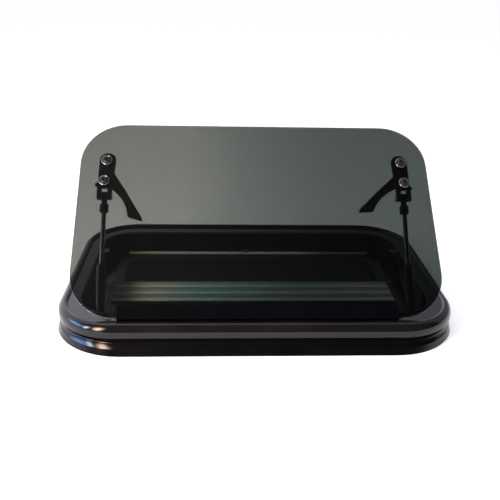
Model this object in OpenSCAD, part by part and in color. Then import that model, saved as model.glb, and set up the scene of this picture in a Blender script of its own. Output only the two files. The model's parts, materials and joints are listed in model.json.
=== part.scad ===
// Push-out window for a caravan or camper: a tinted glass sash, hinged along one long edge,
// in a black aluminium frame that clamps the wall between an outer flange and an inner ring.
// The window lies flat with its outer face up, and the sash stands open on its two side struts.
// X runs along the hinge, Y from the hinge to the free edge, Z out of the wall.

/* [Outer frame] */
// Width of the outer flange
frame_w = 650; // [560:5:900]
// Depth of the outer flange, across the hinge
frame_d = 430; // [390:5:600]
// Corner radius of the outer flange
frame_r = 100; // [96:1:120]
// Height of the seal ledge above the bottom
flange_top = 41; // [40:0.5:42]
// Height of the rolled rim above the seal ledge
rim_rise = 5; // [4:0.25:5]
// Radius of the rim's inner roll
rim_r = 5.5; // [5:0.25:6]
// Radius of the rim's outer shoulder
shoulder_r = 15; // [14:0.5:16]
// Angle at which the shoulder turns into the roll
shoulder_angle = 62; // [58:1:64]
// Height of the flange's underside above the bottom
flange_bottom = 26; // [25.5:0.5:28]
// Wall of the frame profile
frame_wall = 3; // [2.5:0.1:3.2]
// Distance from the flange's side edges to the frame's tube
tube_inset_side = 30; // [30:0.5:31]
// Distance from the flange's long edges to the frame's tube
tube_inset_long = 42; // [42:0.5:43]
// Width of the lip inside the tube
lip_w = 5; // [4.5:0.5:6]

/* [Inner ring] */
// How far the inner ring stands out past the outer flange at the sides
ring_over_w = 2.5; // [0:0.5:4]
// How far the inner ring stands out past the outer flange at the long edges
ring_over_d = 9.5; // [6:0.5:11]
// Height of the inner ring
ring_h = 24; // [20:0.5:25]
// How far the ring's wall leans in at the top
ring_lean = 7.5; // [4:0.5:8]
// Thickness of the inner ring's floor
ring_floor = 3; // [2.5:0.1:3.2]
// Distance from the outside of the tube to the inner edge of the floor
floor_inset = 39; // [36:1:41]

/* [Seals] */
// Width of the seal under the glass
seal_w = 5; // [4:0.25:5.5]
// Height of the closed glass above the seal ledge
glass_gap = 3; // [3:0.1:5]
// Gap between the pressed seal and the glass
seal_clearance = 0.3; // [0.2:0.05:0.5]

/* [Glass] */
// Distance from the flange's side edges to the closed glass
glass_margin_side = 25; // [24:0.5:26]
// Distance from the flange's long edges to the closed glass
glass_margin_long = 36; // [35.5:0.5:36.5]
// Corner radius of the glass
glass_r = 77; // [60:1:90]
// Thickness of the glass
glass_t = 5; // [4:0.5:6]
// Opening angle of the sash as drawn
sash_angle = 42; // [40:0.5:44]

/* [Hinge] */
// Distance from the start of the flange's corners to the ends of the hinge strip
strip_inset = 3; // [3:1:40]
// Width of the hinge strip over the glass
strip_w = 21; // [16:0.5:30]
// Thickness of the hinge strip
strip_t = 2.5; // [2:0.1:3]
// Thickness of the web between the strip and its bead
web_t = 2; // [1.6:0.1:2.2]
// Depth of the hinge axis below the seal ledge
axis_depth = 5; // [4.8:0.1:5.4]
// Radius of the bead that turns in the hinge rail
bead_r = 3.5; // [3:0.1:3.6]
// Clearance round the bead
bead_clearance = 0.1; // [0.05:0.05:0.1]
// Wall of the hinge rail's socket
socket_wall = 1.4; // [1.2:0.1:1.6]

/* [Brackets] */
// Distance of the brackets from the glass's side edges
bracket_inset = 42; // [38:1:60]
// Distance of the lower screw from the glass's free edge
pivot_inset = 112.5; // [108:0.5:118]
// Distance between the two screws of a bracket
screw_pitch = 40; // [34:0.5:50]
// Width of a bracket
bracket_w = 25; // [24.5:0.5:26]
// How far the upper screw lies inward of the lower one
screw_step = 2; // [0:0.5:3]
// How much wider a bracket's upper end is
bracket_flare = 3; // [0:0.5:4]
// How far a bracket reaches past its upper screw
bracket_over = 20; // [14:0.5:24]
// Thickness of a bracket's plate
bracket_t = 4; // [3.5:0.1:4.5]
// Gap between the bracket's plate and the glass, which holds the lever
bracket_gap = 6.5; // [6:0.1:7]
// Diameter of the screws
screw_d = 6; // [5:0.5:7]
// Diameter of the screw heads
head_d = 19; // [15:0.5:20]
// Height of the screw heads
head_h = 4.5; // [3:0.25:6]
// Clearance round screws and pins
pin_clearance = 0.16; // [0.1:0.02:0.2]

/* [Levers] */
// Length of a lever from its pivot
lever_l = 97; // [80:1:100]
// Thickness of a lever at its pivot
lever_t = 3.5; // [3:0.1:4]
// Thickness of a lever's grip
grip_t = 6.5; // [5:0.25:7]
// Angle of the left lever's grip from the hinge's direction
lever_angle_left = 46; // [31:1:48]
// Angle of the right lever
lever_angle_right = 31.5; // [31:0.5:48]
// Length of the lever's latching nose
nose_l = 17; // [16:0.25:18]
// Angle between the grip and the nose
nose_angle = 114; // [112:1:116]

/* [Struts] */
// Distance from the lower screw down to the fork's pin
fork_drop = 21; // [20:0.5:24]
// Width of the slot between the fork's prongs
fork_slot = 10; // [9.5:0.25:10.5]
// Distance from the outside of the tube to the strut's foot pin
foot_inset = 35; // [34:1:38]
// Height of the strut's foot pin
foot_z = 16; // [15:0.25:17]
// Diameter of the strut's rod
rod_d = 8; // [7:0.5:8]
// Diameter of the strut's cylinder
cylinder_d = 16; // [16:0.5:17]
// Bore of the strut's cylinder
cylinder_bore = 13; // [12.5:0.25:13.5]
// Length of the cylinder, from the foot pin to its mouth
cylinder_l = 90; // [80:1:95]
// How far the rod reaches into the cylinder when the sash is open
rod_hold = 14; // [10:1:20]
// Diameter of the collar on the rod
collar_d = 15.5; // [13:0.5:17]
// Length of the collar on the rod
collar_l = 13; // [10:0.5:16]

/* [Screen] */
// Width of the screen frame's bars
screen_bar_w = 20; // [16:1:24]
// Thickness of the screen frame
screen_bar_t = 3; // [2.5:0.1:3.5]
// Depth of the ribbed shade in the opening
shade_d = 78; // [60:1:90]
// Number of ribs across the shade
shade_ribs = 6; // [4:1:8]

/* [Hidden] */
$fn = 96;
half_d = frame_d / 2;
skin_bottom = flange_top - frame_wall;
rim_z = flange_top + rim_rise - rim_r;
rim_in = shoulder_r - (shoulder_r - rim_r) * cos(shoulder_angle);
shoulder_z = rim_z - (shoulder_r - rim_r) * sin(shoulder_angle);
return_w = 14;
gasket_inset = 5;
tube_w = frame_w - 2 * tube_inset_side;
tube_d = frame_d - 2 * tube_inset_long;
corner_step = 34;
tube_r = frame_r - corner_step;
lip_in = frame_wall + lip_w;
lip_x = tube_w / 2 - lip_in;
ring_w = frame_w + 2 * ring_over_w;
ring_d = frame_d + 2 * ring_over_d;
ring_r = frame_r + 13;
clamp_w = 31;
band_groove = 1.2;
boss_r = 3.5;
clamp_screw_d = 3.6;
clamp_screw_l = 13;
clamp_head_d = 7;
clamp_head_h = 1.6;

glass_w = frame_w - 2 * glass_margin_side;
glass_l = frame_d - 2 * glass_margin_long;
strip_l = frame_w - 2 * frame_r - 2 * strip_inset;
hinge_y = -half_d + glass_margin_long;
hinge_z = flange_top - axis_depth;
glass_n = axis_depth + glass_gap;
glass_out = glass_n + glass_t;
socket_bore = bead_r + bead_clearance;
socket_r = socket_bore + socket_wall;
mouth_back = 8;
mouth_front = 40;
rail_foot = 14;
inner_flap = 5;
slot_front = 8.5;
slot_back = socket_r + 0.3;
cap_t = 1.5;

bracket_x = glass_w / 2 - bracket_inset;
pivot_s = glass_l - pivot_inset;
fork_s = pivot_s - fork_drop;
plate_top = glass_n - bracket_gap;
plate_bottom = plate_top - bracket_t;
lever_bottom = plate_top + 0.5;
lever_top = lever_bottom + lever_t;
upper_s = pivot_s + screw_pitch;
pin_d = 6;
eye_r = 7;
eye_w = fork_slot - 0.6;
fork_depth = eye_r - plate_top;
fork_bottom = fork_s - eye_r;
prong_t = (bracket_w - fork_slot) / 2;
slot_over = 5;
bush_r = 8;
boss_d = 19;
nose_r = 3;
nut_d = 11;
nut_h = 4;

foot_y = -tube_d / 2 + foot_inset;
fork_y = hinge_y + fork_s * cos(sash_angle) + fork_depth * sin(sash_angle);
fork_z = hinge_z + fork_s * sin(sash_angle) - fork_depth * cos(sash_angle);
strut_l = sqrt(pow(fork_y - foot_y, 2) + pow(fork_z - foot_z, 2));
strut_angle = atan2(fork_z - foot_z, fork_y - foot_y);
neck_d = 10;
end_bore = 14;
collar_start = 16;

floor_w = tube_w - 2 * floor_inset;
floor_d = tube_d - 2 * floor_inset;
floor_r = tube_r - floor_inset;
keeper_y = hinge_y + pivot_s + 0.5;
keeper_d = 16;
screen_w = floor_w + 6;
screen_d = floor_d + 6;
screen_top = ring_floor + screen_bar_t;
screen_r = 40;
shade_y = -66;
shade_w = 500;
shade_base = 2;
rib_h = 4;
rib_points = [[0, shade_base], [0.08, shade_base], [0.2, rib_h], [0.6, rib_h], [0.92, shade_base],
    [1, shade_base]];
rib_w = shade_d / shade_ribs;
pull_bar_y = tube_d / 2 - 23;
pull_bar_w = 6;

// Flat shapes and sweeps

module rounded(w, d, r) {
    square([w - 2 * r, d], center = true);
    square([w, d - 2 * r], center = true);
    for (x = [-1, 1], y = [-1, 1]) translate([x * (w / 2 - r), y * (d / 2 - r)]) circle(r);
}

// Sweeps a profile round a rounded rectangle: the profile's X points out of it, its Y is up
module swept_ring(w, d, r) {
    for (side = [0:3]) {
        out = side % 2 == 0 ? w / 2 : d / 2;
        run = (side % 2 == 0 ? d : w) - 2 * r;
        rotate([0, 0, 90 * side]) translate([out, run / 2, 0]) rotate([90, 0, 0])
            linear_extrude(run) children();
    }
    for (corner = [0:3]) {
        x = corner == 0 || corner == 3 ? 1 : -1;
        y = corner < 2 ? 1 : -1;
        translate([x * (w / 2 - r), y * (d / 2 - r), 0]) rotate([0, 0, 90 * corner])
            rotate_extrude(angle = 90) translate([r, 0]) children();
    }
}

// Extrudes a profile along the hinge: the profile's X is Y and its Y is up
module along_x(length) {
    translate([-length / 2, 0, 0]) rotate([90, 0, 90]) linear_extrude(length) children();
}

// A rod or bore along X, centred
module cross_rod(d, length) {
    translate([-length / 2, 0, 0]) rotate([0, 90, 0]) cylinder(d = d, h = length);
}

// The sash's own frame: Y runs up the glass from the hinge axis, Z points outward
module on_sash() {
    translate([0, hinge_y, hinge_z]) rotate([sash_angle, 0, 0]) children();
}

// A bracket's own frame on the sash, with its outer side along X
module on_bracket(side) {
    on_sash() translate([side * bracket_x, 0, 0]) scale_side(side) children();
}

module scale_side(side) {
    if (side > 0) children();
    else mirror([1, 0, 0]) children();
}

// A strut's own frame: its axis runs from the foot pin along Y
module on_strut(side) {
    translate([side * bracket_x, foot_y, foot_z]) rotate([strut_angle, 0, 0]) children();
}

// Frame

module bent_wall(r, from, to) {
    reach = 2 * r;
    intersection() {
        difference() {
            circle(r);
            circle(r - frame_wall);
        }
        polygon([[0, 0], for (a = [from, (from + to) / 2, to]) [cos(a), sin(a)] * reach]);
    }
}

module rim_profile() {
    translate([-shoulder_r, shoulder_z]) bent_wall(shoulder_r, 0, shoulder_angle);
    translate([-rim_in, rim_z]) bent_wall(rim_r, shoulder_angle, 180);
    translate([-rim_in - rim_r, skin_bottom]) square([frame_wall, rim_z - skin_bottom]);
    translate([-frame_wall, flange_bottom]) square([frame_wall, shoulder_z - flange_bottom]);
    translate([-return_w, flange_bottom]) square([return_w, frame_wall]);
}

// Places of the screws that clamp the inner ring
module at_clamp_screws() {
    boss_in = lip_in - boss_r;
    for (side = [-1, 1], x = [-0.42, -0.14, 0.14, 0.42])
        translate([x * (frame_w - 2 * frame_r), side * (tube_d / 2 - boss_in), 0]) children();
    for (side = [-1, 1], end = [-1, 1])
        translate([side * (tube_w / 2 - boss_in), end * (keeper_y + keeper_d + 9), 0]) children();
}

module outer_frame() {
    color("#17151a") difference() {
        union() {
            swept_ring(frame_w, frame_d, frame_r) rim_profile();
            translate([0, 0, skin_bottom]) linear_extrude(frame_wall) difference() {
                rounded(frame_w - 2 * rim_in - rim_r, frame_d - 2 * rim_in - rim_r, frame_r - rim_in - rim_r / 2);
                rounded(tube_w - 2 * lip_in, tube_d - 2 * lip_in, tube_r - lip_in);
            }
            swept_ring(tube_w, tube_d, tube_r) translate([-frame_wall, ring_floor])
                square([frame_wall, flange_top - frame_wall / 2 - ring_floor]);
            at_clamp_screws() translate([0, 0, ring_floor])
                cylinder(r = boss_r, h = flange_top - frame_wall / 2 - ring_floor);
        }
        translate([0, hinge_y, 0]) along_x(strip_l + 2 * cap_t)
            translate([-slot_front, skin_bottom - 1]) square([slot_front + slot_back, frame_wall + 2]);
        at_clamp_screws() translate([0, 0, ring_floor - 1])
            cylinder(d = clamp_screw_d, h = clamp_screw_l);
    }
}

module inner_wall_profile() {
    difference() {
        union() {
            polygon([[0, 0], [-ring_lean, ring_h], [-ring_lean - frame_wall, ring_h], [-frame_wall, 0]]);
            translate([-clamp_w, ring_h - frame_wall]) square([clamp_w - ring_lean - frame_wall / 2, frame_wall]);
        }
        for (share = [0.3, 0.62]) translate([-ring_lean * share - band_groove, ring_h * share])
            square([band_groove + 1, band_groove]);
    }
}

module inner_frame() {
    color("#121013") difference() {
        union() {
            swept_ring(ring_w, ring_d, ring_r) inner_wall_profile();
            linear_extrude(ring_floor) difference() {
                rounded(ring_w - frame_wall, ring_d - frame_wall, ring_r - frame_wall / 2);
                rounded(floor_w, floor_d, floor_r);
            }
        }
        at_clamp_screws() {
            translate([0, 0, -1]) cylinder(d = clamp_screw_d + 0.6, h = ring_floor + 2);
            translate([0, 0, -0.01]) cylinder(d1 = clamp_head_d, d2 = clamp_screw_d, h = clamp_head_h + 0.2);
        }
    }
}

module clamp_screws() {
    color("silver") at_clamp_screws() {
        translate([0, 0, 0.25]) cylinder(d1 = clamp_head_d - 0.7, d2 = clamp_screw_d - 0.3, h = clamp_head_h);
        translate([0, 0, 0.3]) cylinder(d = clamp_screw_d - 0.3, h = clamp_screw_l);
    }
}

module wall_gasket() {
    color("#0a0a0a") swept_ring(frame_w, frame_d, frame_r)
        translate([-return_w, ring_h]) square([return_w - gasket_inset, flange_bottom - ring_h]);
}

module sash_seal() {
    seal_top = flange_top + glass_gap - seal_clearance;
    color("#101010") swept_ring(tube_w, tube_d, tube_r) translate([0.5 + seal_w / 2 - lip_in, 0]) {
        translate([-seal_w / 2, flange_top]) square([seal_w, seal_top - flange_top - seal_w / 2]);
        intersection() {
            translate([0, seal_top - seal_w / 2]) circle(d = seal_w);
            translate([-seal_w / 2, flange_top]) square(seal_w);
        }
    }
}

module hinge_rail() {
    color("#161416") translate([0, hinge_y, hinge_z]) along_x(strip_l) difference() {
        union() {
            circle(socket_r);
            translate([-rail_foot, skin_bottom - hinge_z - frame_wall])
                square([rail_foot - bead_r, frame_wall]);
        }
        circle(socket_bore);
        polygon([[0, 0], for (a = [-mouth_back, 25, 55, sash_angle + mouth_front])
            [-sin(a), cos(a)] * 3 * socket_r]);
    }
}

module hinge_end_caps() {
    color("#242226") for (side = [-1, 1]) translate([side * (strip_l + cap_t) / 2, hinge_y, 0])
        along_x(cap_t) translate([-slot_front, hinge_z - socket_r])
            square([slot_front + slot_back, flange_top - hinge_z + socket_r]);
}

// Screen and shade

module screen_frame() {
    color("#151515") translate([0, 0, ring_floor]) linear_extrude(screen_bar_t) difference() {
        rounded(screen_w, screen_d, screen_r);
        rounded(screen_w - 2 * screen_bar_w, screen_d - 2 * screen_bar_w, screen_r - screen_bar_w);
    }
}

module fly_screen() {
    color("#0c0c0c") translate([0, 0, ring_floor + 1]) linear_extrude(1)
        rounded(screen_w - 2 * screen_bar_w, screen_d - 2 * screen_bar_w, screen_r - screen_bar_w);
}

module screen_pull_bar() {
    color("#8a7a66") translate([0, pull_bar_y, ring_floor]) along_x(screen_w - 30) {
        translate([-pull_bar_w / 2, 0]) square([pull_bar_w, 2]);
        translate([0, 2]) circle(2);
    }
}

module ribbed_shade() {
    color("#4a5248") translate([0, shade_y, screen_top]) along_x(shade_w) {
        polygon(concat([[0, 0]], [for (i = [0:shade_ribs - 1], p = rib_points) [(i + p[0]) * rib_w, p[1]]],
            [[shade_d, 0]]));
    }
}

// Strut feet and keepers

module strut_foot(side) {
    lug_t = 4;
    lug_d = 18;
    lug_in = eye_w / 2 + 0.3;
    color("#1a1a1a") translate([side * bracket_x, foot_y, 0]) {
        translate([-lug_in - lug_t, -lug_d / 2, ring_floor]) cube([2 * (lug_in + lug_t), lug_d, 2]);
        for (x = [-lug_in - lug_t, lug_in]) translate([x, 0, 0]) rotate([90, 0, 90])
            linear_extrude(lug_t) difference() {
                union() {
                    translate([-eye_r, ring_floor]) square([2 * eye_r, foot_z - ring_floor]);
                    translate([0, foot_z]) circle(eye_r);
                }
                translate([0, foot_z]) circle(d = pin_d + pin_clearance);
            }
    }
}

module foot_pin(side) {
    color("silver") translate([side * bracket_x, foot_y, foot_z]) cross_rod(pin_d, eye_w + 9);
}

module keeper(side) {
    plate_t = 3;
    plate_z = 12;
    arm_z = 31;
    tab_t = 1.6;
    tab_w = 14.5;
    tab_z = flange_top + glass_gap - 0.4 - tab_t;
    riser_x = lip_x - 1 - plate_t;
    color("#26242a") scale_side(side) translate([0, keeper_y, 0]) {
        translate([lip_x + lip_w - plate_t, 0, plate_z]) cube([plate_t, keeper_d, arm_z + plate_t - plate_z]);
        translate([riser_x, 0, arm_z]) cube([lip_x + lip_w - riser_x, keeper_d, plate_t]);
        translate([riser_x, 0, arm_z]) cube([plate_t, keeper_d, tab_z - arm_z + tab_t]);
        translate([lip_x - 1 - tab_w, 0, tab_z]) cube([tab_w, keeper_d, tab_t]);
    }
}

// Sash

module glass_pane() {
    color("#3c423e") on_sash() translate([0, 0, glass_n]) difference() {
        translate([0, glass_l / 2, 0]) linear_extrude(glass_t)
            rounded(glass_w, glass_l, glass_r);
        for (side = [-1, 1]) translate([side * bracket_x, 0, -1]) scale_side(side) at_sash_screws()
            cylinder(d = screw_d + 3, h = glass_t + 2);
    }
}

module sash_hinge_strip() {
    color("#1c1a1e") on_sash() along_x(strip_l - 1) {
        circle(bead_r);
        translate([-web_t, bead_r / 2]) square([web_t, glass_out + strip_t - bead_r / 2]);
        translate([-web_t, glass_n - strip_t]) square([web_t + inner_flap, strip_t]);
        translate([-web_t, glass_out]) square([web_t + strip_w, strip_t]);
    }
}

module at_sash_screws() {
    translate([0, pivot_s, 0]) children();
    translate([-screw_step, upper_s, 0]) children();
}

module bracket(side) {
    plate_r = (bracket_w + bracket_flare) / 2;
    plate_end = upper_s + bracket_over - plate_r;
    color("#151417") on_bracket(side) difference() {
        union() {
            translate([0, 0, plate_bottom]) linear_extrude(bracket_t) {
                translate([-screw_step, plate_end]) circle(plate_r);
                polygon([[-bracket_w / 2, fork_bottom], [bracket_w / 2, fork_bottom],
                    [plate_r - screw_step, plate_end], [-plate_r - screw_step, plate_end]]);
            }
            for (x = [-bracket_w / 2, fork_slot / 2]) translate([x, fork_s, 0]) rotate([90, 0, 90])
                linear_extrude(prong_t) {
                    polygon([[-eye_r, plate_top], [2 * eye_r, plate_top], [2 * eye_r, plate_bottom],
                        [eye_r, -fork_depth], [-eye_r, -fork_depth]]);
                    translate([0, -fork_depth]) circle(eye_r);
                }
        }
        translate([-fork_slot / 2, fork_bottom - 1, plate_bottom - 1])
            cube([fork_slot, 2 * eye_r + slot_over + 1, bracket_t + 2]);
        translate([0, fork_s, -fork_depth]) cross_rod(pin_d + pin_clearance, bracket_w + 2);
        at_sash_screws() translate([0, 0, plate_bottom - 1])
            cylinder(d = screw_d + pin_clearance, h = bracket_t + 2);
    }
}

module bracket_pad(side) {
    color("#222222") on_bracket(side) difference() {
        union() {
            translate([-screw_step, upper_s, plate_top]) cylinder(r = bush_r, h = glass_n - plate_top);
            translate([0, pivot_s, lever_top + 0.3]) cylinder(r = bush_r, h = glass_n - lever_top - 0.3);
        }
        at_sash_screws() translate([0, 0, plate_top - 1])
            cylinder(d = screw_d + pin_clearance, h = glass_n - plate_top + 2);
    }
}

module sash_screw(side, inward, s) {
    color("#2a2a2e") on_bracket(side) translate([-inward, s, 0]) {
        translate([0, 0, glass_out]) difference() {
            rotate_extrude() {
                square([head_d / 2, head_h / 3]);
                intersection() {
                    translate([0, head_h - 12.5]) circle(12.5);
                    square([head_d / 2 - 0.8, head_h]);
                }
            }
            translate([0, 0, head_h - 2.5]) cylinder(d = 5.6, h = 3, $fn = 6);
        }
        translate([0, 0, plate_bottom - nut_h]) {
            cylinder(d = screw_d, h = glass_out - plate_bottom + nut_h + 0.5);
            cylinder(d = nut_d, h = nut_h, $fn = 6);
        }
    }
}

module fork_pin(side) {
    color("silver") on_bracket(side) translate([0, fork_s, -fork_depth]) cross_rod(pin_d, bracket_w + 1);
}

// Outline of a lever with its grip along X and its pivot at the middle
function curve(a, b, c, n) = [for (i = [0:n]) let (t = i / n)
    a * (1 - t) * (1 - t) + b * 2 * t * (1 - t) + c * t * t];

module grip_outline() {
    polygon(concat(
        curve([lever_l * 0.34, 16], [lever_l * 0.6, 9.5], [lever_l * 0.955, 1], 8),
        curve([lever_l * 0.985, 0], [lever_l * 1.015, -1.6], [lever_l * 0.985, -3.4], 4),
        curve([lever_l * 0.81, -12.6], [lever_l * 0.77, -14.8], [lever_l * 0.745, -12.4], 6),
        curve([lever_l * 0.69, -8.6], [lever_l * 0.52, 1.2], [lever_l * 0.34, 1.2], 10)));
}

module root_outline() {
    circle(boss_d / 2);
    polygon(concat([[-boss_d / 2, 0]], curve([-8, 12], [-6, 23], [1, 22.6], 8),
        [[lever_l * 0.36, 15.4], [lever_l * 0.36, 1.2], [15, 0.6], [7, -6]]));
    rotate(-nose_angle) {
        translate([0, -nose_r]) square([nose_l - nose_r, 2 * nose_r]);
        translate([nose_l - nose_r, 0]) circle(nose_r);
    }
}

module latch_lever(side, angle) {
    color("#18161c") on_bracket(side) translate([0, pivot_s, 0]) mirror([1, 0, 0])
        rotate(-angle) difference() {
            union() {
                translate([0, 0, lever_bottom]) linear_extrude(lever_t) root_outline();
                translate([0, 0, lever_top - grip_t]) linear_extrude(grip_t) grip_outline();
            }
            translate([0, 0, lever_bottom - 1]) cylinder(d = screw_d + pin_clearance, h = lever_t + 2);
        }
}

// Struts

module strut_rod(side) {
    color("#8c9490") on_strut(side) translate([0, strut_l - end_bore, 0]) rotate([90, 0, 0])
        cylinder(d = rod_d, h = strut_l - end_bore - cylinder_l + rod_hold);
}

module strut_end(side) {
    color("#202022") on_strut(side) difference() {
        union() {
            translate([0, strut_l, 0]) cross_rod(2 * eye_r, eye_w);
            translate([0, strut_l - 1, 0]) rotate([90, 0, 0]) cylinder(d = neck_d, h = collar_start);
            translate([0, strut_l - collar_start, 0]) rotate([90, 0, 0]) cylinder(d = collar_d, h = collar_l);
        }
        translate([0, strut_l - end_bore + pin_clearance, 0]) rotate([90, 0, 0])
            cylinder(d = rod_d + pin_clearance, h = collar_start + collar_l);
        translate([0, strut_l, 0]) cross_rod(pin_d + pin_clearance, eye_w + 2);
    }
}

module strut_cylinder(side) {
    color("#141416") on_strut(side) difference() {
        union() {
            cross_rod(2 * eye_r, eye_w);
            rotate([-90, 0, 0]) cylinder(d = neck_d, h = 13);
            translate([0, 11, 0]) rotate([-90, 0, 0]) cylinder(d = cylinder_d, h = cylinder_l - 11);
        }
        translate([0, 15, 0]) rotate([-90, 0, 0]) cylinder(d = cylinder_bore, h = cylinder_l);
        cross_rod(pin_d + pin_clearance, eye_w + 2);
    }
}

outer_frame();
inner_frame();
wall_gasket();
sash_seal();
hinge_rail();
hinge_end_caps();
screen_frame();
fly_screen();
screen_pull_bar();
ribbed_shade();
clamp_screws();
strut_foot(-1);  // strut_foot_left
strut_foot(1);  // strut_foot_right
foot_pin(-1);  // foot_pin_left
foot_pin(1);  // foot_pin_right
keeper(-1);  // keeper_left
keeper(1);  // keeper_right
glass_pane();
sash_hinge_strip();
bracket(-1);  // bracket_left
bracket(1);  // bracket_right
bracket_pad(-1);  // bracket_pad_left
bracket_pad(1);  // bracket_pad_right
sash_screw(-1, screw_step, upper_s);  // upper_screw_left
sash_screw(1, screw_step, upper_s);  // upper_screw_right
sash_screw(-1, 0, pivot_s);  // pivot_screw_left
sash_screw(1, 0, pivot_s);  // pivot_screw_right
fork_pin(-1);  // fork_pin_left
fork_pin(1);  // fork_pin_right
latch_lever(-1, lever_angle_left);  // latch_lever_left
latch_lever(1, lever_angle_right);  // latch_lever_right
strut_rod(-1);  // strut_rod_left
strut_rod(1);  // strut_rod_right
strut_end(-1);  // strut_end_left
strut_end(1);  // strut_end_right
strut_cylinder(-1);  // strut_cylinder_left
strut_cylinder(1);  // strut_cylinder_right
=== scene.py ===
"""Looks of a push-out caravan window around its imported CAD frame, in metres.

The CAD solids that already have the right shape keep it and get their finish here.
Everything that is eased, rolled or moulded with fine edges is modelled here as a mesh
that rides on the CAD body it belongs to.
"""
import json
import math

import bmesh
import bpy
from mathutils import Matrix, Vector


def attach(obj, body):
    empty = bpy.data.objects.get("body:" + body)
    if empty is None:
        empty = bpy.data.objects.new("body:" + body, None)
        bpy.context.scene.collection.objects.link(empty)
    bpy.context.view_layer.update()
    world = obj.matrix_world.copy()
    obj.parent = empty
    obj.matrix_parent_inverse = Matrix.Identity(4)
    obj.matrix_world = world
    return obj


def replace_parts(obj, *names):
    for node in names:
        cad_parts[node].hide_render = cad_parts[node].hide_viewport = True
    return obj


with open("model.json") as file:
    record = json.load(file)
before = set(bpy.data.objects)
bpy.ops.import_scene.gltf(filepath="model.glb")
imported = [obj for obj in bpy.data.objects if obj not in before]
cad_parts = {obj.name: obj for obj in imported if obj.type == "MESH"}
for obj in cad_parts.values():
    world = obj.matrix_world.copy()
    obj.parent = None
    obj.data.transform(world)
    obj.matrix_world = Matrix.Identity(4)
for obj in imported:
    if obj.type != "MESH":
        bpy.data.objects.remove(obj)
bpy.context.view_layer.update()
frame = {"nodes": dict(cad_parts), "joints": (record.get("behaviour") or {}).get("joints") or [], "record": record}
NODES = frame["nodes"]
JOINTS = {joint["name"]: joint for joint in frame["joints"]}
MM = 0.001

# Materials

CLOUD_SCALE = 14.0
GRAIN_SCALE = 900.0
GRAIN_DEPTH = 0.0004
WEAVE_DEPTH = 0.0003
WAVE_PERIOD = math.tau / 20  # of a Wave node whose scale is 1
GLASS_IOR = 1.5
# Painted light and shade on the pane: its tint is paler at the left and darker to the right, between these places
# along X
PAINTED_LIGHT_START = -0.12
PAINTED_LIGHT_END = 0.20
PAINTED_LIGHT_FALL = 2.0
# Half the span along X over which the painted reflections on the pull bar and the foil change
SHEEN_HALF = 0.235
PLEATS_MEASURED = 8
MIX_A, MIX_B, MIX_RESULT = 6, 7, 2  # the colour sockets of a Mix node


class Nodes:
    """A short way to write a node tree."""

    def __init__(self, material):
        self.tree = material.node_tree
        self.tree.nodes.clear()
        self.out = self.add("ShaderNodeOutputMaterial")

    def add(self, kind, **values):
        node = self.tree.nodes.new(kind)
        for name, value in values.items():
            setattr(node, name, value)
        return node

    def link(self, a, b):
        self.tree.links.new(a, b)

    def noise(self, scale, detail, roughness, stretch):
        place = self.add("ShaderNodeTexCoord")
        mapping = self.add("ShaderNodeMapping")
        mapping.inputs["Scale"].default_value = stretch
        noise = self.add("ShaderNodeTexNoise")
        noise.inputs["Scale"].default_value = scale
        noise.inputs["Detail"].default_value = detail
        noise.inputs["Roughness"].default_value = roughness
        self.link(place.outputs["Object"], mapping.inputs["Vector"])
        self.link(mapping.outputs["Vector"], noise.inputs["Vector"])
        return noise.outputs["Fac"]

    def spread(self, value, low, high, start=0.3, end=0.7):
        ramp = self.add("ShaderNodeMapRange")
        ramp.inputs["From Min"].default_value = start
        ramp.inputs["From Max"].default_value = end
        ramp.inputs["To Min"].default_value = low
        ramp.inputs["To Max"].default_value = high
        self.link(value, ramp.inputs["Value"])
        return ramp.outputs["Result"]

    def axis(self, name):
        """One coordinate of the piece itself, in metres."""
        place = self.add("ShaderNodeTexCoord")
        parts = self.add("ShaderNodeSeparateXYZ")
        self.link(place.outputs["Object"], parts.inputs["Vector"])
        return parts.outputs[name]

    def stops(self, value, start, end, colours):
        """Colours set at places along a value, with soft steps between them."""
        ramp = self.add("ShaderNodeValToRGB")
        ramp.color_ramp.interpolation = "EASE"
        points = ramp.color_ramp.elements
        while len(points) < len(colours):
            points.new(0.5)
        for point, (at, colour) in zip(points, colours):
            point.position = (at - start) / (end - start)
            point.color = (*colour, 1)
        self.link(self.spread(value, 0, 1, start, end), ramp.inputs["Fac"])
        return ramp.outputs["Color"]

    def blend(self, value, first, second):
        mix = self.add("ShaderNodeMix", data_type="RGBA")
        mix.inputs[MIX_A].default_value = (*first, 1)
        mix.inputs[MIX_B].default_value = (*second, 1)
        self.link(value, mix.inputs["Factor"])
        return mix.outputs[MIX_RESULT]

    def tinge(self, colour, tint):
        """A colour multiplied by another."""
        mix = self.add("ShaderNodeMix", data_type="RGBA", blend_type="MULTIPLY")
        mix.inputs["Factor"].default_value = 1.0
        self.link(colour, mix.inputs[MIX_A])
        self.link(tint, mix.inputs[MIX_B])
        return mix.outputs[MIX_RESULT]

    def larger(self, first, second):
        """The larger of two values."""
        pick = self.add("ShaderNodeMath", operation="MAXIMUM")
        self.link(first, pick.inputs[0])
        self.link(second, pick.inputs[1])
        return pick.outputs["Value"]

    def relief(self, height, strength, depth, shader):
        """A bump in a shader, of a depth in metres."""
        bump = self.add("ShaderNodeBump")
        bump.inputs["Strength"].default_value = strength
        bump.inputs["Distance"].default_value = depth
        self.link(height, bump.inputs["Height"])
        self.link(bump.outputs["Normal"], shader.inputs["Normal"])


def blank(name):
    """A new material and its empty node tree."""
    material = bpy.data.materials.new(name)
    material.use_nodes = True
    return material, Nodes(material)


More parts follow.
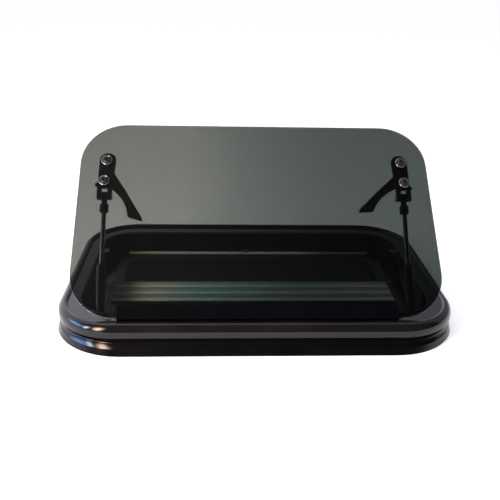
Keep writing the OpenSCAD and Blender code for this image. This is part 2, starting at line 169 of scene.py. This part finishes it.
def painted(name, dark, light, rough, rough_spread=0.05, bump=0.02, specular=0.5, metallic=0.0,
            stretch=(1, 1, 1), along_x=None, pleats=None):
    """A surface whose colour and gloss vary softly, with a fine grain in its bump.

    It may have painted reflections whose tint changes along X, and a painted highlight and painted crease shade
    that come again with each pleat along Y.
    """
    material, nodes = blank(name)
    shader = nodes.add("ShaderNodeBsdfPrincipled")
    shader.inputs["Metallic"].default_value = metallic
    shader.inputs["Specular IOR Level"].default_value = specular
    cloud = nodes.noise(CLOUD_SCALE, 4.0, 0.6, stretch)
    fine = nodes.noise(GRAIN_SCALE, 3.0, 0.6, stretch)
    colour = nodes.blend(nodes.spread(cloud, 0, 1), dark, light)
    # A tint along X that paints the reflections the metal mirrors
    if along_x:
        tint = nodes.stops(nodes.axis("X"), -SHEEN_HALF, SHEEN_HALF, along_x)
        colour = nodes.tinge(colour, tint)
    # A painted highlight and painted crease shade, repeated with each pleat
    if pleats:
        start, period, tones = pleats
        count = nodes.spread(nodes.axis("Y"), 0, PLEATS_MEASURED,
                             start, start + PLEATS_MEASURED * period)
        phase = nodes.add("ShaderNodeMath", operation="FRACT")
        nodes.link(count, phase.inputs[0])
        colour = nodes.tinge(colour, nodes.stops(phase.outputs["Value"], 0, 1, tones))
    nodes.link(colour, shader.inputs["Base Color"])
    gloss = nodes.spread(cloud, rough - rough_spread, rough + rough_spread)
    nodes.link(gloss, shader.inputs["Roughness"])
    nodes.relief(fine, bump, GRAIN_DEPTH, shader)
    nodes.link(shader.outputs["BSDF"], nodes.out.inputs["Surface"])
    return material


def tinted_glass(name, pale, deep):
    """Clear glass whose tint deepens to the right ever more slowly, as painted light at its left and painted shade
    to the right.
    """
    material, nodes = blank(name)
    shader = nodes.add("ShaderNodeBsdfPrincipled")
    shader.inputs["Transmission Weight"].default_value = 1.0
    shader.inputs["Roughness"].default_value = 0.0
    shader.inputs["IOR"].default_value = GLASS_IOR
    fade = nodes.add("ShaderNodeMath", operation="POWER")
    nodes.link(nodes.spread(nodes.axis("X"), 1, 0, PAINTED_LIGHT_START, PAINTED_LIGHT_END), fade.inputs[0])
    fade.inputs[1].default_value = PAINTED_LIGHT_FALL
    nodes.link(nodes.blend(fade.outputs["Value"], deep, pale), shader.inputs["Base Color"])
    nodes.link(shader.outputs["BSDF"], nodes.out.inputs["Surface"])
    return material


def woven(name, thread, gap, pitch):
    """A fine square weave."""
    material, nodes = blank(name)
    shader = nodes.add("ShaderNodeBsdfPrincipled")
    shader.inputs["Roughness"].default_value = 0.75
    shader.inputs["Specular IOR Level"].default_value = 0.2
    place = nodes.add("ShaderNodeTexCoord")
    waves = []
    for direction in ("X", "Y"):
        wave = nodes.add("ShaderNodeTexWave", wave_type="BANDS", bands_direction=direction)
        wave.inputs["Scale"].default_value = WAVE_PERIOD / pitch
        nodes.link(place.outputs["Object"], wave.inputs["Vector"])
        waves.append(wave.outputs["Fac"])
    threads = nodes.larger(*waves)
    colour = nodes.blend(nodes.spread(threads, 0, 1, 0.5, 0.9), gap, thread)
    nodes.link(colour, shader.inputs["Base Color"])
    nodes.relief(threads, 0.5, WEAVE_DEPTH, shader)
    nodes.link(shader.outputs["BSDF"], nodes.out.inputs["Surface"])
    return material


BLACK = (0.0045, 0.0042, 0.0048)
# The pane's tint: paler as painted light at its left, deeper as painted shade at its right
GLASS_TINT_LIT = (0.14, 0.15, 0.125)
GLASS_TINT_SHADED = (0.062, 0.076, 0.07)
# Painted reflections on the pull bar and the foil: the colours they mirror shift along X from gold at the left to
# ice or teal and olive, darker at the bar's ends and at the foil's left end
BRONZE = (0.45, 0.36, 0.2)
GOLD = (1.0, 0.85, 0.45)
PALE_GOLD = (1.0, 0.95, 0.75)
ICE = (0.8, 1.0, 1.0)
SLATE = (0.25, 0.3, 0.32)
SHADOW = (0.08, 0.1, 0.08)
TEAL = (0.52, 0.85, 0.78)
OLIVE = (0.5, 0.63, 0.5)
SILVER = (0.85, 0.88, 0.8)
BAR_SHEEN = [(share * SHEEN_HALF, colour) for share, colour in (
    (-1, BRONZE), (-0.87, GOLD), (-0.6, ICE), (0.43, ICE), (0.68, SLATE))]
FOIL_SHEEN = [(share * SHEEN_HALF, colour) for share, colour in (
    (-1, SHADOW), (-0.78, PALE_GOLD), (-0.45, TEAL), (0.35, OLIVE), (1, SILVER))]
# Painted light on each pleat of the foil: a painted highlight on a narrow band, and painted shade towards its
# creases
LIT = (1.0, 1.0, 1.0)
PLEAT_CREASE_SHADE = (0.25, 0.25, 0.25)
PLEAT_LIGHT_AND_SHADE = [(0, PLEAT_CREASE_SHADE), (0.15, LIT), (0.25, LIT), (1, PLEAT_CREASE_SHADE)]
MATERIALS = {
    "frame_gloss": painted("frame_gloss", BLACK, (0.0085, 0.008, 0.009), 0.11, 0.03, bump=0.02,
                           specular=0.34),
    "ring_gloss": painted("ring_gloss", (0.0012, 0.0012, 0.0013), (0.002, 0.0019, 0.002), 0.16,
                          0.03, specular=0.3),
    # Black rubber, made near-black so that it also stands for the shadow in the gap between ring and flange:
    # partly painted shade
    "gasket_rubber": painted("gasket_rubber", (0.0008, 0.0008, 0.0008), (0.0015, 0.0015, 0.0015),
                             0.8, bump=0.2, specular=0.03),
    "seal_rubber": painted("seal_rubber", (0.006, 0.006, 0.006), (0.012, 0.012, 0.012), 0.55,
                           bump=0.1),
    "hinge_black": painted("hinge_black", BLACK, (0.009, 0.009, 0.009), 0.35),
    "end_cap_plastic": painted("end_cap_plastic", (0.010, 0.010, 0.011), (0.016, 0.016, 0.017),
                               0.4),
    "screen_black": painted("screen_black", (0.005, 0.005, 0.005), (0.009, 0.009, 0.009), 0.5),
    "screen_mesh": woven("screen_mesh", (0.010, 0.010, 0.011), (0.002, 0.002, 0.002), 0.0016),
    "pull_bar_metal": painted("pull_bar_metal", (0.80, 0.80, 0.80), (0.92, 0.92, 0.92), 0.36,
                              metallic=0.85, stretch=(0.05, 1, 1), along_x=BAR_SHEEN),
    "shade_foil": painted("shade_foil", (0.7, 0.7, 0.7), (0.85, 0.85, 0.85), 0.26, metallic=0.9,
                          stretch=(0.05, 1, 1), along_x=FOIL_SHEEN,
                          pleats=(-0.064, 0.026, PLEAT_LIGHT_AND_SHADE)),
    "screw_steel": painted("screw_steel", (0.40, 0.40, 0.40), (0.55, 0.55, 0.54), 0.3,
                           metallic=1.0),
    "bracket_black": painted("bracket_black", (0.014, 0.014, 0.019), (0.021, 0.020, 0.027), 0.38,
                             bump=0.1),
    "pin_steel": painted("pin_steel", (0.35, 0.35, 0.36), (0.5, 0.5, 0.5), 0.3, metallic=1.0),
    "strip_black": painted("strip_black", (0.0010, 0.0009, 0.0016), (0.0018, 0.0016, 0.0026), 0.55,
                           specular=0.03),
    "pad_rubber": painted("pad_rubber", (0.004, 0.004, 0.004), (0.008, 0.008, 0.008), 0.6),
    "screw_black": painted("screw_black", (0.010, 0.010, 0.011), (0.016, 0.016, 0.017), 0.16,
                           specular=0.3),
    "lever_black": painted("lever_black", (0.014, 0.014, 0.020), (0.021, 0.020, 0.028), 0.34,
                           bump=0.12),
    "rod_polished": painted("rod_polished", (0.20, 0.23, 0.21), (0.30, 0.33, 0.30), 0.18,
                            metallic=1.0, stretch=(1, 0.1, 0.1)),
    "collar_black": painted("collar_black", (0.006, 0.006, 0.006), (0.010, 0.010, 0.010), 0.3),
    "cylinder_black": painted("cylinder_black", (0.004, 0.004, 0.005), (0.008, 0.008, 0.009), 0.16),
    "tinted_glass": tinted_glass("tinted_glass", GLASS_TINT_LIT, GLASS_TINT_SHADED),
}

SLOT_OF = {row["node"]: row["material_slot"] for row in frame["record"]["subparts"]}
BODY_OF = {node: body for body, nodes in frame["record"]["behaviour"]["bodies"].items()
           for node in nodes}
for name, node in NODES.items():
    node.data.materials.clear()
    node.data.materials.append(MATERIALS[SLOT_OF[name]])

# Mesh helpers

SIDES = {"left": -1, "right": 1}


def shown(name, mesh, body, slot, material=None):
    """Puts a mesh into the scene on a body, in a slot's finish or in a material of its own."""
    piece = bpy.data.objects.new(name, mesh)
    bpy.context.scene.collection.objects.link(piece)
    mesh.materials.clear()
    mesh.materials.append(material or MATERIALS[slot])
    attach(piece, body)
    return piece


def smooth(mesh, angle=35):
    mesh.shade_smooth()
    mesh.set_sharp_from_angle(angle=math.radians(angle))


MERGE_DISTANCE = 2e-6
FLAT_ANGLE = 0.3
EASE_SEGMENTS = 3
EASE_ANGLE = 30
FLATS_WEIGHT = 90


def eased(name, edge):
    """Replaces a CAD solid by a copy whose sharp edges are eased to a radius, as real ones are."""
    mesh = NODES[name].data.copy()
    form = bmesh.new()
    form.from_mesh(mesh)
    bmesh.ops.remove_doubles(form, verts=form.verts, dist=MERGE_DISTANCE)
    bmesh.ops.dissolve_limit(form, angle_limit=math.radians(FLAT_ANGLE),
                             verts=form.verts, edges=form.edges)
    form.to_mesh(mesh)
    form.free()
    piece = shown(name + "_eased", mesh, BODY_OF[name], SLOT_OF[name])
    bevel = piece.modifiers.new("ease", "BEVEL")
    bevel.width = edge
    bevel.segments = EASE_SEGMENTS
    bevel.limit_method = "ANGLE"
    bevel.angle_limit = math.radians(EASE_ANGLE)
    smooth(mesh, 180)
    normals = piece.modifiers.new("flats", "WEIGHTED_NORMAL")
    normals.weight = FLATS_WEIGHT
    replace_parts(piece, name)


# How far the edges of each piece are eased, in millimetres
EASED = {"outer_frame": 0.35, "inner_frame": 0.4, "sash_hinge_strip": 0.35, "glass_pane": 0.7,
         "hinge_end_caps": 0.25, "screen_frame": 0.5}
for side in SIDES:
    EASED.update({f"bracket_{side}": 0.7, f"latch_lever_{side}": 1.0, f"strut_foot_{side}": 0.5,
                  f"keeper_{side}": 0.4, f"strut_end_{side}": 0.4, f"strut_rod_{side}": 0.5,
                  f"strut_cylinder_{side}": 0.8})
for name, edge in EASED.items():
    eased(name, edge * MM)


def local_box(name, place):
    """The extents of a CAD piece in another frame of axes."""
    inverse = place.inverted()
    points = [inverse @ vertex.co for vertex in NODES[name].data.vertices]
    return (Vector([min(point[i] for point in points) for i in range(3)]),
            Vector([max(point[i] for point in points) for i in range(3)]))


def turned(form, place, rings, segments=72):
    """Rings of points about Z, from one closed end to the other; a ring may be hexagonal."""
    loops = []
    for radius, height, sides in rings:
        loop = []
        for step in range(segments):
            angle = math.tau * step / segments
            reach = radius
            if sides:
                part = math.tau / sides
                reach = radius / math.cos((angle % part) - part / 2)
            point = Vector((reach * math.cos(angle), reach * math.sin(angle), height))
            loop.append(form.verts.new(place @ point))
        loops.append(loop)
    for low, high in zip(loops, loops[1:]):
        for step in range(segments):
            after = (step + 1) % segments
            form.faces.new((low[step], low[after], high[after], high[step]))
    form.faces.new(list(reversed(loops[0])))
    form.faces.new(loops[-1])


def mesh_of(form, name, angle=35):
    bmesh.ops.recalc_face_normals(form, faces=form.faces)
    mesh = bpy.data.meshes.new(name)
    form.to_mesh(mesh)
    form.free()
    smooth(mesh, angle)
    return mesh


def edge_highlight(piece, outward):
    """Gives the narrow sides of a pane a pale colour, a painted highlight along its edges."""
    piece.data.materials.append(EDGE_HIGHLIGHT)
    for face in piece.data.polygons:
        if abs(face.normal.dot(outward)) < EDGE_ON:
            face.material_index = 1


EDGE_ON = 0.2
WASHER_METAL = painted("washer_metal", (0.20, 0.20, 0.21), (0.28, 0.28, 0.28), 0.13, metallic=1.0)
BEAD_RED = painted("bead_red", (0.30, 0.012, 0.012), (0.42, 0.020, 0.018), 0.4)
SASH_AXIS = Vector(JOINTS["lever_left_pivot"]["axis"])
SASH = (Matrix.Translation(Vector(JOINTS["sash_hinge"]["pos_m"]))
        @ Matrix.Rotation(math.atan2(-SASH_AXIS.y, SASH_AXIS.z), 4, "X"))
GLASS_OUT = local_box("glass_pane", SASH)[1].z
PANE = bpy.data.objects["glass_pane_eased"]
PANE.visible_shadow = False
# The pale colour of the pane's edges is a painted highlight
EDGE_HIGHLIGHT = painted("edge_highlight", (0.30, 0.33, 0.32), (0.42, 0.46, 0.44), 0.35)
edge_highlight(PANE, SASH_AXIS)
HEX = 6
NUT_TOP = 4 * MM
NUT_R = 5.5 * MM
NUT_CHAMFER_R = 5.0 * MM
SHANK_R = 2.9 * MM
SOCKET_R = 2.7 * MM
# Rings of the washer in millimetres: how far inside the head's edge, and how far above the glass
WASHER_RINGS = [(3.2, 0.9), (3.2, 0.0), (0.2, 0.0), (0.0, 0.2), (0.0, 0.8), (0.3, 1.3), (0.9, 1.65),
                (1.5, 1.65), (2.0, 1.4), (2.4, 0.9)]

# Cap screws: a washer, a dome with a groove round it and a hexagon recess, and a domed nut
for kind in ("upper", "pivot"):
    for side in SIDES:
        name = f"{kind}_screw_{side}"
        low, high = local_box(name, SASH)
        place = SASH @ Matrix.Translation(((low.x + high.x) / 2, (low.y + high.y) / 2, 0))
        head = (high.x - low.x) / 2
        base, top = GLASS_OUT, high.z
        form = bmesh.new()
        turned(form, place, [(head - inside * MM, base + above * MM, 0)
                             for inside, above in WASHER_RINGS])
        shown(name + "_washer", mesh_of(form, name + "_washer"), BODY_OF[name], None, WASHER_METAL)
        form = bmesh.new()
        turned(form, place, [
            (SHANK_R, low.z + NUT_TOP, 0), (SHANK_R, base, 0),
            (head - 2.6 * MM, base + 0.9 * MM, 0), (head - 2.6 * MM, base + 1.7 * MM, 0),
            (head - 3.1 * MM, base + 2.7 * MM, 0),
            (head - 3.9 * MM, base + 3.5 * MM, 0), (head - 4.9 * MM, top - 0.35 * MM, 0),
            (4.0 * MM, top, 0), (3.3 * MM, top, 0), (2.75 * MM, top - 0.25 * MM, HEX),
            (SOCKET_R, top - 0.6 * MM, HEX), (SOCKET_R, base + 1.2 * MM, HEX),
            (0.3 * MM, base + 0.9 * MM, 0)])
        turned(form, place, [
            (NUT_CHAMFER_R, low.z + NUT_TOP, 0), (NUT_R, low.z + 3.6 * MM, HEX),
            (NUT_R, low.z + 1.2 * MM, HEX), (NUT_CHAMFER_R, low.z + 0.7 * MM, 0),
            (4.0 * MM, low.z + 0.5 * MM, 0), (3.6 * MM, low.z + 0.1 * MM, 0), (2.6 * MM, low.z, 0)])
        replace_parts(shown(name + "_cap", mesh_of(form, name), BODY_OF[name], SLOT_OF[name]), name)

CORNER_STEPS = 28


def swept(form, half_x, half_y, corner, profile):
    """A closed profile of points out of and above a rounded rectangle, swept round it."""
    stations = []
    for quarter, (sx, sy) in enumerate(((1, 1), (-1, 1), (-1, -1), (1, -1))):
        for step in range(CORNER_STEPS + 1):
            angle = math.pi / 2 * (quarter + step / CORNER_STEPS)
            stations.append([
                form.verts.new((sx * (half_x - corner) + (corner + out) * math.cos(angle),
                                sy * (half_y - corner) + (corner + out) * math.sin(angle), height))
                for out, height in profile])
    for here, after in zip(stations, stations[1:] + stations[:1]):
        for point in range(len(profile)):
            following = (point + 1) % len(profile)
            form.faces.new((here[point], here[following], after[following], after[point]))


# The ring's wall has two fine beads, and the rubber between ring and flange hangs over its edge
low, high = local_box("inner_frame", Matrix())
RING_CORNER = 113 * MM
RING_LEAN = 0.3125
TRIM_FOOT = 1.2
TRIM_LEAN = 0.361
TRIM_TOP = 20.9
BEAD = 0.35
trim = [(0.8, 0.1), (TRIM_FOOT - 0.1, 0.4)]
for middle in (10.9, TRIM_TOP - 0.8):
    for lift, proud in ((-0.7, 0), (-0.35, BEAD), (0.35, BEAD), (0.7, 0)):
        trim.append((TRIM_FOOT - TRIM_LEAN * (middle + lift) + proud, middle + lift))
trim += [(-RING_LEAN * TRIM_TOP - 0.4, TRIM_TOP), (-0.4, 0.1)]
# The lip's near-black is partly the rubber's own colour and partly painted shadow of the gap under the flange
lip = [(-6.25, 20.95), (-6.35, 22), (-6.6, 23.4), (-7.3, 24.6), (-8.6, 25.6), (-9.8, 25.95),
       (-11, 25.95), (-11, 24.05), (-7.9, 24.02), (-7.0, 21)]
for name, points, slot in (("ring_trim", trim, "ring_gloss"), ("gasket_lip", lip, "gasket_rubber")):
    form = bmesh.new()
    swept(form, high.x, high.y, RING_CORNER, [(out * MM, height * MM) for out, height in points])
    shown(name, mesh_of(form, name, 50), "frame", slot)


def prism(name, outline, low_x, high_x, body, slot, replaced, angle):
    """An outline of Y and Z points drawn out along X in place of a CAD piece."""
    form = bmesh.new()
    ends = [[form.verts.new((x, y, z)) for y, z in outline] for x in (low_x, high_x)]
    for step in range(len(outline)):
        after = (step + 1) % len(outline)
        form.faces.new((ends[0][step], ends[0][after], ends[1][after], ends[1][step]))
    form.faces.new(ends[0])
    form.faces.new(list(reversed(ends[1])))
    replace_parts(shown(name, mesh_of(form, name, angle), body, slot), replaced)


# The shade's foil lies in soft rolls, broad and narrow in turn, with a hem on the far edge
low, high = local_box("ribbed_shade", Matrix())
PLEATS = 3
STEPS = 20
PLEAT_START = 0.35
BROAD_SHARE = 0.62
NARROW_HEIGHT = 0.7
ROLL_POWER = 0.9
FOIL_LOW = 0.45
FOIL_SWELL = 0.5
HEM = 2.6 * MM
HEM_STEPS = 8
outline = [(low.y, low.z)]
pleat = (high.y - HEM - low.y) / PLEATS
for step in range(PLEATS * STEPS + 1):
    share = (step / STEPS + PLEAT_START) % 1
    broad = share < BROAD_SHARE
    roll = share / BROAD_SHARE if broad else (share - BROAD_SHARE) / (1 - BROAD_SHARE)
    swell = (1.0 if broad else NARROW_HEIGHT) * math.sin(math.pi * roll) ** ROLL_POWER
    outline.append((low.y + pleat * step / STEPS,
                    low.z + (high.z - low.z) * (FOIL_LOW + FOIL_SWELL * swell)))
for step in range(HEM_STEPS + 1):
    angle = math.pi * (1 - step / HEM_STEPS)
    outline.append((high.y - HEM / 2 + HEM / 2 * math.cos(angle),
                    high.z - HEM / 2 + HEM / 2 * math.sin(angle)))
outline.append((high.y, low.z))
prism("shade_rolls", outline, low.x, high.x, "frame", "shade_foil", "ribbed_shade", 60)

# The pull bar is a flat bar whose top slopes to the front
low, high = local_box("screen_pull_bar", Matrix())
outline = [(low.y, low.z), (low.y, low.z + 1.1 * MM), (low.y + 0.4 * MM, low.z + 1.5 * MM),
           (high.y - 0.5 * MM, high.z), (high.y, high.z - 0.3 * MM), (high.y, low.z)]
prism("pull_bar_sloped", outline, low.x, high.x, "frame", "pull_bar_metal", "screen_pull_bar", 20)

# A small black tab leans on the far wall, with a red bead at its foot
BEAD_MIDDLE = Vector((-0.0085, 0.1520, 0.0100))
BEAD_R = 2.8 * MM
BEAD_STRETCH = 2.8
BEAD_STEPS = 8
ROUND_STEPS = 24
TAB_FLATNESS = 0.7
TAB_FOOT = Vector((-0.0105, 0.1535, 0.0095))
TAB_TOP = Vector((-0.0245, 0.1665, 0.0420))
TAB_WIDTHS = [(0.0, 2.2), (0.08, 3.0), (0.55, 2.6), (0.94, 2.2), (1.0, 1.4)]
lean = (TAB_TOP - TAB_FOOT).to_track_quat("Z", "X").to_matrix().to_4x4()
form = bmesh.new()
turned(form, Matrix.Translation(TAB_FOOT) @ lean @ Matrix.Diagonal((1.0, TAB_FLATNESS, 1.0, 1.0)),
       [(width * MM, share * (TAB_TOP - TAB_FOOT).length, 0) for share, width in TAB_WIDTHS],
       ROUND_STEPS)
shown("pull_tab", mesh_of(form, "pull_tab"), "frame", "gasket_rubber")
form = bmesh.new()
turned(form, Matrix.Translation(BEAD_MIDDLE) @ Matrix.Diagonal((BEAD_STRETCH, 1.0, 1.0, 1.0)),
       [(BEAD_R * math.sin(math.pi * step / BEAD_STEPS),
         -BEAD_R * math.cos(math.pi * step / BEAD_STEPS), 0) for step in range(1, BEAD_STEPS)],
       ROUND_STEPS)
shown("pull_tab_bead", mesh_of(form, "pull_tab_bead"), "frame", None, BEAD_RED)

# Studio

GROUND_TONE = 0.8
GROUND_LIFT = 0.46
GROUND_HALF = 30.0
GROUND_DROP = -0.0004
SOFT_MIDDLE = 2.6
SKY_SEEN = 1.1
SKY_COLOUR = (0.98, 0.95, 1.05, 1)
# The sky's strength along two axes: the axis, where the change starts and ends, from and to what
ROOM = [("X", -0.35, 0.4, 1.85, 0.5), ("Y", -0.13, 0.04, 0.085, 1.0)]


def seen_directly(nodes):
    """1 for camera, mirror and see-through rays, and 0 for the rays that light a surface."""
    path = nodes.add("ShaderNodeLightPath")
    total = path.outputs["Is Camera Ray"]
    for kind in ("Is Glossy Ray", "Is Transmission Ray"):
        total = nodes.larger(total, path.outputs[kind])
    return total


def white_ground(name):
    """Pale matte ground with its shadows kept, which shows as white where it is seen."""
    material, nodes = blank(name)
    matte = nodes.add("ShaderNodeBsdfDiffuse")
    matte.inputs["Color"].default_value = (GROUND_TONE, GROUND_TONE, GROUND_TONE, 1)
    glow = nodes.add("ShaderNodeEmission")
    lift = nodes.add("ShaderNodeMath", operation="MULTIPLY")
    lift.inputs[1].default_value = GROUND_LIFT
    nodes.link(seen_directly(nodes), lift.inputs[0])
    nodes.link(lift.outputs["Value"], glow.inputs["Strength"])
    both = nodes.add("ShaderNodeAddShader")
    nodes.link(matte.outputs["BSDF"], both.inputs[0])
    nodes.link(glow.outputs["Emission"], both.inputs[1])
    nodes.link(both.outputs["Shader"], nodes.out.inputs["Surface"])
    return material


def panel(name, corners, material):
    """A flat four-cornered stage piece."""
    mesh = bpy.data.meshes.new(name)
    mesh.from_pydata(corners, [], [tuple(range(len(corners)))])
    mesh.materials.append(material)
    piece = bpy.data.objects.new(name, mesh)
    bpy.context.scene.collection.objects.link(piece)


panel("floor", [(x * GROUND_HALF, y * GROUND_HALF, GROUND_DROP)
                for x, y in ((-1, -1), (1, -1), (1, 1), (-1, 1))], white_ground("floor_white"))


def soft_sides(data):
    """Lets a lamp fade from its middle to its sides, so that its mirror image has no hard edge."""
    data.use_nodes = True
    tree = data.node_tree
    place = tree.nodes.new("ShaderNodeNewGeometry")
    middle = tree.nodes.new("ShaderNodeVectorMath")
    middle.operation = "DISTANCE"
    middle.inputs[1].default_value = (0.5, 0.5, 0.0)
    fade = tree.nodes.new("ShaderNodeMapRange")
    fade.interpolation_type = "SMOOTHERSTEP"
    fade.inputs["From Min"].default_value = 0.5
    fade.inputs["From Max"].default_value = 0.0
    fade.inputs["To Max"].default_value = SOFT_MIDDLE
    tree.links.new(place.outputs["Parametric"], middle.inputs[0])
    tree.links.new(middle.outputs["Value"], fade.inputs["Value"])
    tree.links.new(fade.outputs["Result"], tree.nodes["Emission"].inputs["Strength"])


def area_light(name, place, target, size, power, colour, mirrored=True):
    """A lamp that points at a place; one that isn't mirrored lights, but never shows in gloss."""
    data = bpy.data.lights.new(name, "AREA")
    data.shape = "RECTANGLE"
    if mirrored:
        soft_sides(data)
    data.size, data.size_y = size
    data.energy = power
    data.color = colour
    lamp = bpy.data.objects.new(name, data)
    lamp.location = place
    lamp.rotation_euler = (Vector(target) - Vector(place)).to_track_quat("-Z", "Y").to_euler()
    lamp.visible_glossy = lamp.visible_transmission = mirrored
    bpy.context.scene.collection.objects.link(lamp)


MIDDLE = (0, 0, 0)
PANE_LEFT = (-0.3, -0.2, 0.03)
area_light("key", (-1.4, -1.2, 2.7), MIDDLE, (3.0, 3.0), 27, (1.0, 0.99, 1.04), mirrored=False)
area_light("fill", (1.5, -1.3, 1.9), MIDDLE, (2.0, 2.0), 16, (1.0, 0.98, 1.03), mirrored=False)
area_light("warm_strip", (-0.87, -1.02, 0.62), PANE_LEFT, (0.55, 1.3), 36, (1.0, 0.70, 0.54))
area_light("cool_panel", (-1.48, -0.41, 0.45), PANE_LEFT, (1.35, 0.95), 27, (0.22, 0.48, 1.0))
area_light("white_strip", (-1.23, -0.78, 0.50), PANE_LEFT, (0.34, 1.0), 13, (0.80, 0.90, 1.0))


def room_world():
    """A room that is light on the far side and to the left, and dark in front."""
    world = bpy.data.worlds.new("room")
    world.use_nodes = True
    tree = world.node_tree
    back = tree.nodes["Background"]
    place = tree.nodes.new("ShaderNodeTexCoord")
    parts = tree.nodes.new("ShaderNodeSeparateXYZ")
    tree.links.new(place.outputs["Generated"], parts.inputs["Vector"])
    total = None
    for name, start, end, low, high in ROOM:
        fade = tree.nodes.new("ShaderNodeMapRange")
        fade.interpolation_type = "SMOOTHSTEP"
        fade.inputs["From Min"].default_value = start
        fade.inputs["From Max"].default_value = end
        fade.inputs["To Min"].default_value = low
        fade.inputs["To Max"].default_value = high
        tree.links.new(parts.outputs[name], fade.inputs["Value"])
        if total:
            both = tree.nodes.new("ShaderNodeMath")
            both.operation = "MULTIPLY"
            tree.links.new(total, both.inputs[0])
            tree.links.new(fade.outputs["Result"], both.inputs[1])
            total = both.outputs["Value"]
        else:
            total = fade.outputs["Result"]
    path = tree.nodes.new("ShaderNodeLightPath")
    seen = tree.nodes.new("ShaderNodeMix")
    tree.links.new(path.outputs["Is Camera Ray"], seen.inputs["Factor"])
    tree.links.new(total, seen.inputs["A"])
    seen.inputs["B"].default_value = SKY_SEEN
    tree.links.new(seen.outputs["Result"], back.inputs["Strength"])
    back.inputs["Color"].default_value = SKY_COLOUR
    return world


bpy.context.scene.world = room_world()

# The camera stands where the outlines of the pane, the flange and the ring fit the photograph
CAMERA_PLACE = Vector((-0.0672, -1.0818, 0.5576))
CAMERA_DOWN = math.radians(23.827)
CAMERA_TURN = math.radians(3.189)
CAMERA_ROLL = math.radians(1.445)
FOCAL_PIXELS = 657.1
PHOTO_PIXELS = 500
SENSOR = 36.0
forward = Vector((math.sin(CAMERA_TURN) * math.cos(CAMERA_DOWN),
                  math.cos(CAMERA_TURN) * math.cos(CAMERA_DOWN), -math.sin(CAMERA_DOWN)))
level = Vector((math.cos(CAMERA_TURN), -math.sin(CAMERA_TURN), 0))
upright = level.cross(forward)
right = math.cos(CAMERA_ROLL) * level + math.sin(CAMERA_ROLL) * upright
up = math.cos(CAMERA_ROLL) * upright - math.sin(CAMERA_ROLL) * level
camera_data = bpy.data.cameras.new("camera")
camera_data.sensor_width = SENSOR
camera_data.lens = FOCAL_PIXELS / PHOTO_PIXELS * SENSOR
camera = bpy.data.objects.new("camera", camera_data)
camera.matrix_world = (Matrix.Translation(CAMERA_PLACE)
                       @ Matrix((right, up, -forward)).transposed().to_4x4())
bpy.context.scene.collection.objects.link(camera)
bpy.context.scene.camera = camera
bpy.context.scene.view_settings.view_transform = "Standard"
